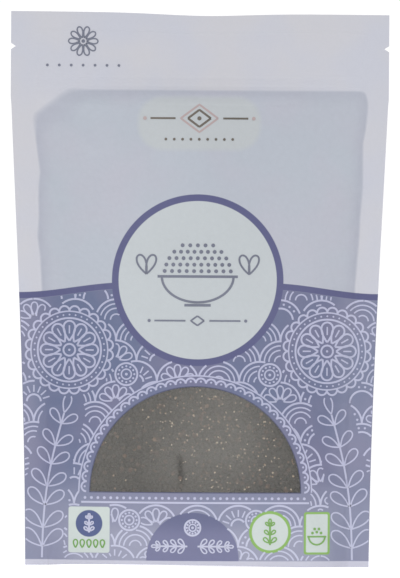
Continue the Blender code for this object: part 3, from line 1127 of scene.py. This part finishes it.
front_lines = LineWork(
    -1,
    within_print,
    clear_of_window(WINDOW_BORDER, WINDOW_BORDER),
    clear_of_disc(*RING),
    clear_of_disc(*DOME),
    clear_of_panel(*SQUARE_BADGE),
    clear_of_disc(*ROUND_BADGE),
    clear_of_panel(*TAG_BADGE),
)
arc = (WINDOW_MIDDLE, WINDOW_SILL, WINDOW_RADIUS + SCALLOP_RING)
half = arc[2] * math.pi / 2 / SCALLOPS
for heading in scallops(front_lines, *arc, half, SCALLOPS, 180):
    front_lines.bead(*toward(*arc[:2], arc[2] + 0.35 * half, heading), 0.9 * BEAD)
front_lines.line(circle(*arc[:2], arc[2] + half + RING_GAP, 0, 180))
front_lines.taken.append(clear_of_window(SCALLOP_RING + half + 0.0012, 0.0))
sill_left, sill_right = arc[0] - arc[2] - half, arc[0] + arc[2] + half
band_foot = WINDOW_SILL - BAND_DEPTH
front_lines.line([(sill_left, band_foot), (sill_right, band_foot)], BOLD_LINE)
for x in np.arange(sill_left + SCALLOP_RING, sill_right, BAND_BEADS):
    front_lines.bead(x, WINDOW_SILL - 0.58 * BAND_DEPTH, 1.2 * BEAD)
front_lines.taken.append(clear_of_panel(sill_left, sill_right, band_foot, WINDOW_SILL))
for hand in (-1, 1):
    rosette(front_lines, hand * 0.0540, 0.0905, 0.0190, 12)
    medallion(front_lines, hand * 0.0300, 0.0805, 0.0050)
    sprig(front_lines, (hand * 0.0650, 0.0030), (hand * 0.0560, 0.0640), hand * -0.04, 7, 0.0112)
    medallion(front_lines, hand * 0.0265 + DOME_MIDDLE, 0.0195, 0.0046)
scale_ground(front_lines, SCALE_RADIUS, 7)
front_lines.printed("front_line_print", PALE_INK)


def garland(work, x, z, reach, leaf):
    """A medallion over two level sprigs that point away from each other."""
    medallion(work, x, z, 0.25 * reach)
    for hand in (-1, 1):
        foot, tip = x + hand * 0.15 * reach, x + hand * reach
        sprig(work, (foot, z - 0.56 * reach), (tip, z - 0.56 * reach), 0.0, 4, leaf)


dome_lines = LineWork(-1)
garland(dome_lines, DOME_MIDDLE, 0.0165, 0.0142, 0.0042)
middle, up, _ = SQUARE_DISC
sprig(dome_lines, (middle, up - 0.0038), (middle, up + 0.0022), 0.0, 3, 0.0028)
dome_lines.printed("dome_print", PALE_INK)

back_lines = LineWork(1, within_print, clear_of_panel(*LABEL, LABEL_LINE + 0.0008))
for hand in (-1, 1):
    rosette(back_lines, hand * 0.0560, 0.0600, 0.0135, 12)
    sprig(back_lines, (hand * 0.0640, 0.0780), (hand * 0.0540, 0.1080), hand * -0.10, 6, 0.0062)
    medallion(back_lines, hand * 0.0240, 0.0130, 0.0056)
    diamond_chain(back_lines, hand * 0.0600, (0.0180, 0.0340), 0.0056, 0.0068)
rosette(back_lines, 0.0, 0.0125, 0.0095, 10)
scale_ground(back_lines, SCALE_RADIUS, 8)
back_lines.printed("back_line_print", PALE_INK)

# Plain ornaments fill the pale fields: a bowl of grain in the disc, a flower on the header, a
# diamond between lines on the patch, and a thin frame round a garland on the back label.
SLATE_INK = ink("slate ink", screen(112, 116, 132), screen(124, 128, 144))
OLIVE_INK = ink("olive ink", screen(96, 92, 84), screen(112, 104, 96))
ROSE_INK = ink("rose ink", screen(178, 158, 160), screen(186, 168, 168))
GREEN_INK = ink("green ink", screen(116, 164, 84), screen(128, 174, 96))
BOWL_RIM = 0.1215
BOWL_HALF = 0.0150
BOWL_DEPTH = 0.72
HEAP_HEIGHT = 0.0150
HEAP_STEP = 0.0030
HEAP_BEAD = 0.00085
RULE_HEIGHT = 0.1030
FLOWER = (-0.0490, 0.2198)
PATCH_MARK = ((PATCH[0] + PATCH[1]) / 2, 0.1878)
# widths of lines and radii of beads, from the heaviest to the finest
HEAVY, STRONG, FIRM, MEDIUM, LIGHT, HAIR = 0.0011, 0.0010, 0.0009, 0.0008, 0.0007, 0.0006

slate = LineWork(-1)
bowl_foot = BOWL_RIM - BOWL_HALF * BOWL_DEPTH - 0.0012
slate.line([(DISC_MIDDLE + hand * (BOWL_HALF + 0.0018), BOWL_RIM) for hand in (-1, 1)], HEAVY)
slate.line(circle(DISC_MIDDLE, BOWL_RIM, BOWL_HALF, 180, 180, BOWL_DEPTH), STRONG)
slate.line([(DISC_MIDDLE + hand * 0.0055, bowl_foot) for hand in (-1, 1)], HEAVY)
for row in range(5):
    up = HEAP_STEP * (0.75 + 0.9 * row)
    reach = BOWL_HALF * math.sqrt(1 - (up / HEAP_HEIGHT) ** 2) - 0.0010
    for x in np.linspace(-reach, reach, round(2 * reach / HEAP_STEP) + 1):
        slate.bead(DISC_MIDDLE + x, BOWL_RIM + up, HEAP_BEAD)
for hand in (-1, 1):
    slate.line([(DISC_MIDDLE + hand * x, RULE_HEIGHT) for x in (0.0050, 0.0180)], LIGHT)
    slate.bead(DISC_MIDDLE + hand * 0.0202, RULE_HEIGHT, LIGHT)
    for heading in (68, 112):
        leaf = petal(DISC_MIDDLE + hand * 0.0215, BOWL_RIM + 0.0010, heading, 0.0, 0.0085, 0.0036)
        slate.line(leaf, MEDIUM)
slate.line(diamond(DISC_MIDDLE, RULE_HEIGHT, 0.0028, 0.0020), LIGHT)
for heading in np.arange(10) * 36.0:
    slate.line(petal(*FLOWER, heading, 0.0014, 0.0062, 0.0022), HAIR)
slate.bead(*FLOWER, MEDIUM)
for x in np.linspace(-0.0150, 0.0150, 7):
    slate.bead(FLOWER[0] + x, FLOWER[1] - 0.0100, HAIR)
slate.printed("slate_print", SLATE_INK)

label_lines = LineWork(1)
for margin in (0.0030, 0.0042):
    left, right, low, high = inset(LABEL, margin)
    label_lines.line([(left, low), (right, low), (right, high), (left, high), (left, low)])
garland(label_lines, 0.0, 0.0700, 0.0220, 0.0070)
label_lines.printed("label_print", SLATE_INK)

olive = LineWork(-1)
rose = LineWork(-1)
middle, up = PATCH_MARK
olive.line(diamond(middle, up, 0.0048, 0.0036), FIRM)
olive.bead(middle, up, FIRM)
rose.line(diamond(middle, up, 0.0078, 0.0058), MEDIUM)
for hand in (-1, 1):
    olive.line([(middle + hand * x, up) for x in (0.0100, 0.0205)], MEDIUM)
    rose.bead(middle + hand * 0.0228, up, MEDIUM)
for x in np.linspace(-0.0140, 0.0140, 9):
    olive.bead(middle + x, up - 0.0088, HAIR)
olive.printed("olive_print", OLIVE_INK)
rose.printed("rose_print", ROSE_INK)

green = LineWork(-1)
left, right, low, high = SQUARE_BADGE
for x in np.linspace(left + 0.0030, right - 0.0030, 5):
    green.line(petal(x, low + 0.0018, 90, 0.0, 0.0036, 0.0018), HAIR)
x, z, radius = ROUND_BADGE
sprig(green, (x, z - 0.62 * radius), (x, z + 0.34 * radius), 0.0, 3, 0.0036)
left, right, low, high = TAG_BADGE
middle, up = (left + right) / 2, low + 0.0075
green.line(circle(middle, up, 0.0034, 180, 180), LIGHT)
green.line([(middle - 0.0040, up), (middle + 0.0040, up)], LIGHT)
for x, above in ((-0.0018, 0.0015), (0.0, 0.0019), (0.0018, 0.0015), (-0.0009, 0.0032), (0.0009, 0.0032)):
    green.bead(middle + x, up + above, HAIR)
green.printed("green_print", GREEN_INK)

# The window is the film's clear inner layer, left unprinted. It is a tenth of a millimetre thick, joined to
# the print all round, and hazy with the grain's dust, more on the left than on the right. A painted sheen
# brightens it round one spot, and along a fold it is left clearer and so darker, as painted shade.
PANE_THICKNESS = 0.00012
# The pale colour of the window's dust and of its painted sheen.
PANE_DUST_AND_SHEEN = (0.62, 0.60, 0.56, 1.0)
PANE_VEIL = (0.103, 0.066)
# A painted sheen: a brighter spot on the window, with its middle, reach and strength.
SHEEN = (0.010, -0.022, 0.054)
SHEEN_REACH = 0.044
SHEEN_ALPHA = 0.082
FOLD_DEPTH = CREASES[-1][-1]
# Painted shade along the fold: how much clearer, and so darker, the window is left there.
FOLD_SHADE = 0.60
HAZE_PATCHES = 45.0
PANE_GLOSS_PATCHES = 70.0


def solid_sheet(outer, inner, faces):
    """A sheet of faces and its inner copy, with a wall between them round the open edge."""
    count = len(outer)
    rings = list(faces) + [[corner + count for corner in reversed(ring)] for ring in faces]
    rings += [[end, start, start + count, end + count] for start, end in open_edges(faces).items()]
    return np.concatenate([outer, inner]), rings


def clear_film():
    material, tree, place = new_material("clear film")
    # Painted sheen round one spot, over dust that thins from left to right.
    sheen = shader_node(tree, "ShaderNodeVectorMath", {0: place, 1: SHEEN}, operation="DISTANCE")
    veil = between(tree, coordinate(tree, place, "X"), -WINDOW_RADIUS, WINDOW_RADIUS, *PANE_VEIL)
    gleam = between(tree, sheen.outputs["Value"], SHEEN_REACH, 0.0, 0.0, SHEEN_ALPHA)
    patches = calc(tree, "SUBTRACT", noise(tree, place, HAZE_PATCHES), 0.5)
    dust_and_sheen = calc(tree, "MULTIPLY_ADD", patches, 0.06, calc(tree, "ADD", veil, gleam))
    # Painted shade along the fold, where the window is left clearer and so darker.
    fold_shade = calc(tree, "MULTIPLY_ADD", marked(tree, "fold"), -FOLD_SHADE, 1.0)
    finish = use_group(tree, FILM_FINISH, {"Position": place, "Grain Edge": 1.0})
    shade(tree, {
        "Base Color": PANE_DUST_AND_SHEEN,
        "Roughness": calc(tree, "MULTIPLY_ADD", noise(tree, place, PANE_GLOSS_PATCHES), 0.12, 0.22),
        "Alpha": calc(tree, "MULTIPLY", dust_and_sheen, fold_shade, clamp=True),
        "Normal": bumps(tree, WRINKLE_HEIGHT, finish["Height"]),
    })
    return material


pane_places, pane_faces = used_points(
    np.stack([front_x.ravel(), front_z.ravel()], axis=1),
    list(cell_faces(front_index, window_kinds, -1)),
)
pane_x, pane_z = pane_places.T
pane_points, pane_rings = solid_sheet(
    film_point(pane_x, pane_z, -1), film_point(pane_x, pane_z, -1, -PANE_THICKNESS), pane_faces
)
pane = new_piece("clear_window", pane_points, pane_rings, [clear_film()])
mark(pane, "fold", np.tile(creases(pane_x, pane_z, -1) / FOLD_DEPTH, 2))
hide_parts("window_film")

# Dry black quinoa lies against the window: flat round seeds about 2 mm across with a blunt rim,
# near black to red brown, a few of them tan, among pale crumbs of seed coat.
SEED_RADIUS = 0.00102
SEED_SEGMENTS = 10
SEED_PROFILE = ((0.60, 0.47), (0.84, 0.41), (0.97, 0.22), (1.00, -0.05), (0.82, -0.40))
SEED_TOP = 0.52
SEED_BOTTOM = -0.46
SEED_SPACING = 0.00205
SEED_LAYER_DEPTH = 0.0009
SEED_GAP = 0.00022
SEED_MARGIN = 0.0012
SEED_JITTER = 0.18
SEED_TILT = 28
SEED_TILT_STEP = 30
SEED_SIZES = (0.88, 1.12)
SEED_WIDTHS = (0.88, 1.0)
SEED_HEIGHTS = (0.85, 1.15)
SEED_UNEVEN = 0.0004
SEED_TONE = 0.60
SEED_DARKEN = 2.2
TAN_SHARE = 0.03
TAN_TONES = (0.55, 0.80)
SEED_COLOURS = ((0.0, (26, 25, 24)), (0.45, (46, 41, 37)), (0.7, (84, 60, 50)), (0.85, (138, 112, 88)))
CRUMB_COLOUR = (234, 222, 200)
GERM_COLOUR = (84, 74, 62)
SEED_MOTTLE = 1500.0
SEED_GRAIN = 0.00006
CORE_TONE = 0.05
HEX_ROW = math.sqrt(3) / 2
CRUMB_COUNT = 280
CRUMB_RADII = (0.00024, 0.00046)
CRUMB_TONES = (0.78, 0.93)
CRUMB_GAP = 0.00016
CRUMB_TILT = 80
CRUMB_LEAST = 0.15
CRUMB_SLOPE = 1.3
CRUMB_BAND = (-0.008, 0.026)
CORE_MARGIN = 0.0022
CORE_DEPTH = 0.0020
CORE_BACK = -0.0083


def seed_mesh():
    """One seed of radius 1, with rings of points from its upper pole down to its lower one."""
    turns = np.linspace(0, 2 * math.pi, SEED_SEGMENTS, endpoint=False)
    points = [(0.0, 0.0, SEED_TOP)]
    for radius, height in SEED_PROFILE:
        points += [(radius * math.cos(turn), radius * math.sin(turn), height) for turn in turns]
    points.append((0.0, 0.0, SEED_BOTTOM))
    faces = []
    last = len(points) - 1
    for at in range(SEED_SEGMENTS):
        ahead = (at + 1) % SEED_SEGMENTS
        faces.append([0, 1 + at, 1 + ahead])
        for ring in range(len(SEED_PROFILE) - 1):
            upper, lower = 1 + ring * SEED_SEGMENTS, 1 + (ring + 1) * SEED_SEGMENTS
            faces.append([upper + at, lower + at, lower + ahead, upper + ahead])
        faces.append([lower + ahead, lower + at, last])
    return np.array(points), faces


def turned(points, draw, tilt):
    """The points under a random turn, with the flat side leaning up to tilt degrees from the front."""
    lean = Matrix.Rotation(math.radians(draw.uniform(0, tilt)), 3, "X")
    spin = Matrix.Rotation(draw.uniform(0, 2 * math.pi), 3, "Z")
    aim = Matrix.Rotation(draw.uniform(0, 2 * math.pi), 3, "Z")
    to_front = Matrix.Rotation(math.pi / 2, 3, "X")
    return points @ np.array(to_front @ aim @ lean @ spin).T


def behind_film(points, depth):
    """Moves the points back until all of them are at least the depth behind the window's film."""
    film_y = film_point(points[:, 0], points[:, 2], -1, -depth)[:, 1]
    points[:, 1] += np.max(film_y - points[:, 1])
    return points


def in_window(x, z, margin):
    sill = WINDOW_SILL - margin
    return z > sill and math.hypot(x - WINDOW_MIDDLE, z - WINDOW_SILL) < WINDOW_RADIUS + margin


def heap(name, spots, shape, faces, draw):
    """Many turned copies of one shape as one mesh, each a little different in size and tone."""
    points, rings, tones = [], [], []
    for x, z, radius, depth, tilt, tone in spots:
        grain = shape * (1.0, draw.uniform(*SEED_WIDTHS), draw.uniform(*SEED_HEIGHTS))
        grain = turned(grain, draw, tilt) * radius + (x, 0.0, z)
        rings += [[corner + len(shape) * len(points) for corner in ring] for ring in faces]
        points.append(behind_film(grain, depth))
        tones += [tone] * len(shape)
    piece = new_piece(name, np.concatenate(points), rings, [QUINOA])
    mark(piece, "tone", tones)
    return piece


def quinoa_finish():
    """Seed coat: its colour runs from near black to tan by each seed's tone, paler along the germ."""
    material, tree, place = new_material("black quinoa")
    mottle = noise(tree, place, SEED_MOTTLE, 3.0)
    tone = calc(tree, "SUBTRACT", marked(tree, "tone"), 0.05)
    tone = calc(tree, "MULTIPLY_ADD", mottle, 0.10, tone, clamp=True)
    ramp = shader_node(tree, "ShaderNodeValToRGB", {0: tone})
    elements = ramp.color_ramp.elements
    elements[-1].color = screen(*CRUMB_COLOUR)
    elements[0].color = screen(*SEED_COLOURS[0][1])
    for position, colour in SEED_COLOURS[1:]:
        elements.new(position).color = screen(*colour)
    germ = calc(tree, "MULTIPLY", marked(tree, "germ"), calc(tree, "MULTIPLY_ADD", mottle, 0.5, 0.1))
    shade(tree, {
        "Base Color": lay(tree, ramp.outputs["Color"], (germ, screen(*GERM_COLOUR))),
        "Roughness": calc(tree, "MULTIPLY_ADD", mottle, 0.25, 0.42),
        "Normal": bumps(tree, SEED_GRAIN, mottle),
    })
    return material


QUINOA = quinoa_finish()
seed_shape, seed_faces = seed_mesh()
seed_draw = random.Random(16)
seed_spots = []
for layer in range(2):
    row_height = WINDOW_SILL - SEED_MARGIN + layer * SEED_SPACING / 2
    row = 0
    while row_height < WINDOW_SILL + WINDOW_RADIUS + SEED_MARGIN:
        x = WINDOW_MIDDLE - WINDOW_RADIUS - SEED_MARGIN + (row % 2 + layer) * SEED_SPACING / 2
        while x < WINDOW_MIDDLE + WINDOW_RADIUS + SEED_MARGIN:
            seed_x = x + seed_draw.uniform(-SEED_JITTER, SEED_JITTER) * SEED_SPACING
            seed_z = row_height + seed_draw.uniform(-SEED_JITTER, SEED_JITTER) * SEED_SPACING
            if in_window(seed_x, seed_z, SEED_MARGIN):
                radius = SEED_RADIUS * seed_draw.uniform(*SEED_SIZES)
                depth = SEED_GAP + layer * SEED_LAYER_DEPTH + seed_draw.uniform(0, SEED_UNEVEN)
                tone = SEED_TONE * seed_draw.random() ** SEED_DARKEN
                if seed_draw.random() < TAN_SHARE:
                    tone = seed_draw.uniform(*TAN_TONES)
                tilt = SEED_TILT + SEED_TILT_STEP * layer
                seed_spots.append((seed_x, seed_z, radius, depth, tilt, tone))
            x += SEED_SPACING
        row_height += SEED_SPACING * HEX_ROW
        row += 1
seeds = heap("quinoa_seeds", seed_spots, seed_shape, seed_faces, seed_draw)
on_rim = [float(radius > 0.9) for radius, _ in SEED_PROFILE]
mark(seeds, "germ", [0.0, *np.repeat(on_rim, SEED_SEGMENTS), 0.0] * len(seed_spots))
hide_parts("quinoa")

crumb_spots = []
while len(crumb_spots) < CRUMB_COUNT:
    x = WINDOW_MIDDLE + seed_draw.uniform(-1, 1) * WINDOW_RADIUS
    z = WINDOW_SILL + seed_draw.random() * WINDOW_RADIUS
    thick = ease(x + CRUMB_SLOPE * (z - WINDOW_SILL), *CRUMB_BAND)
    thick = CRUMB_LEAST + (1 - CRUMB_LEAST) * thick
    if in_window(x, z, -0.001) and seed_draw.random() < thick:
        radius = seed_draw.uniform(*CRUMB_RADII)
        crumb_spots.append((x, z, radius, CRUMB_GAP, CRUMB_TILT, seed_draw.uniform(*CRUMB_TONES)))
crumbs = heap("quinoa_crumbs", crumb_spots, seed_shape, seed_faces, seed_draw)
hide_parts("quinoa")

core_x, core_z = grown(pane_x, pane_z, CORE_MARGIN)
core_front = film_point(core_x, core_z, -1, -CORE_DEPTH)
core_back = core_front.copy()
core_back[:, 1] = CORE_BACK
core_points, core_rings = solid_sheet(core_front, core_back, pane_faces)
core = new_piece("quinoa_behind", core_points, core_rings, [QUINOA])
mark(core, "tone", np.full(len(core_points), CORE_TONE))
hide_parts("quinoa")

# The pack stands on a plain pale floor that fades into a white studio. It glows a little, as a
# product table does, and the camera sees it burnt out to white, with no shadow at the foot.
FLOOR_RADIUS = 1.0
FLOOR_SEGMENTS = 96
FLOOR_DROP = 0.0001
FLOOR_GLOW = 0.32
FLOOR_SEEN = 0.88
FLOOR_GREYS = (0.93, 0.96)
FLOOR_SPECKS = 60.0
FLOOR_FADE = (0.20, 0.90)


def pale_floor():
    material, tree, place = new_material("pale floor")
    from_middle = shader_node(tree, "ShaderNodeVectorMath", {0: place}, operation="LENGTH").outputs["Value"]
    near, far = (share * FLOOR_RADIUS for share in FLOOR_FADE)
    first, second = ((grey, grey, grey, 1.0) for grey in FLOOR_GREYS)
    seen = shader_node(tree, "ShaderNodeLightPath").outputs["Is Camera Ray"]
    shade(tree, {
        "Base Color": lay(tree, first, (noise(tree, place, FLOOR_SPECKS, 4.0), second)),
        "Alpha": between(tree, from_middle, near, far, 1.0, 0.0),
        "Roughness": 0.9,
        "Specular IOR Level": 0.0,
        "Emission Color": (1.0, 1.0, 1.0, 1.0),
        "Emission Strength": calc(tree, "MULTIPLY_ADD", seen, FLOOR_SEEN - FLOOR_GLOW, FLOOR_GLOW),
    })
    return material


floor_turns = np.linspace(0, 2 * math.pi, FLOOR_SEGMENTS, endpoint=False)
floor_ring = [(FLOOR_RADIUS * math.cos(turn), FLOOR_RADIUS * math.sin(turn), 0.0) for turn in floor_turns]
floor_mesh = bpy.data.meshes.new("floor")
floor_mesh.from_pydata(floor_ring, [], [range(FLOOR_SEGMENTS)])
floor_mesh.materials.append(pale_floor())
floor = new_object("floor", floor_mesh)
floor.location.z = -FLOOR_DROP

# Soft studio light: an even white surround, a large key light high on the left, a weaker fill on
# the right and a light over the pack.
AMBIENT = 0.56
BACKDROP = 1.05
LIGHTS = (
    # name, place, width and power
    ("key light", (-1.3, -1.9, 1.5), 1.3, 15.0),
    ("fill light", (1.6, -1.8, 0.7), 1.3, 6.5),
    ("top light", (0.0, 0.2, 2.0), 1.6, 10.0),
)

world = bpy.data.worlds.new("white studio")
world.use_nodes = True
bpy.context.scene.world = world
surround = world.node_tree
seen = shader_node(surround, "ShaderNodeLightPath").outputs["Is Camera Ray"]
strength = calc(surround, "MULTIPLY_ADD", seen, BACKDROP - AMBIENT, AMBIENT)
set_inputs(surround, surround.nodes["Background"], {"Color": (1.0, 1.0, 1.0, 1.0), "Strength": strength})
bpy.context.scene.view_settings.view_transform = "Standard"
for name, spot, width, power in LIGHTS:
    light = bpy.data.lights.new(name, "AREA")
    light.size = width
    light.energy = power
    lamp = new_object(name, light)
    lamp.location = spot
    aim = Vector((0.0, 0.0, HEIGHT / 2)) - lamp.location
    lamp.rotation_euler = aim.to_track_quat("-Z", "Y").to_euler()

# The camera looks level at the front from far off, rolled as slightly as the photograph is.
CAMERA_DISTANCE = 7.0
VIEW_HEIGHT = 0.2424
AIM = (0.00059, 0.1163)
ROLL = 0.36

lens = bpy.data.cameras.new("camera")
lens.sensor_width = 36.0
lens.lens = lens.sensor_width * CAMERA_DISTANCE / VIEW_HEIGHT
camera = new_object("camera", lens)
camera.location = (AIM[0], -CAMERA_DISTANCE, AIM[1])
camera.rotation_euler = (math.pi / 2, -math.radians(ROLL), 0.0)
bpy.context.scene.camera = camera
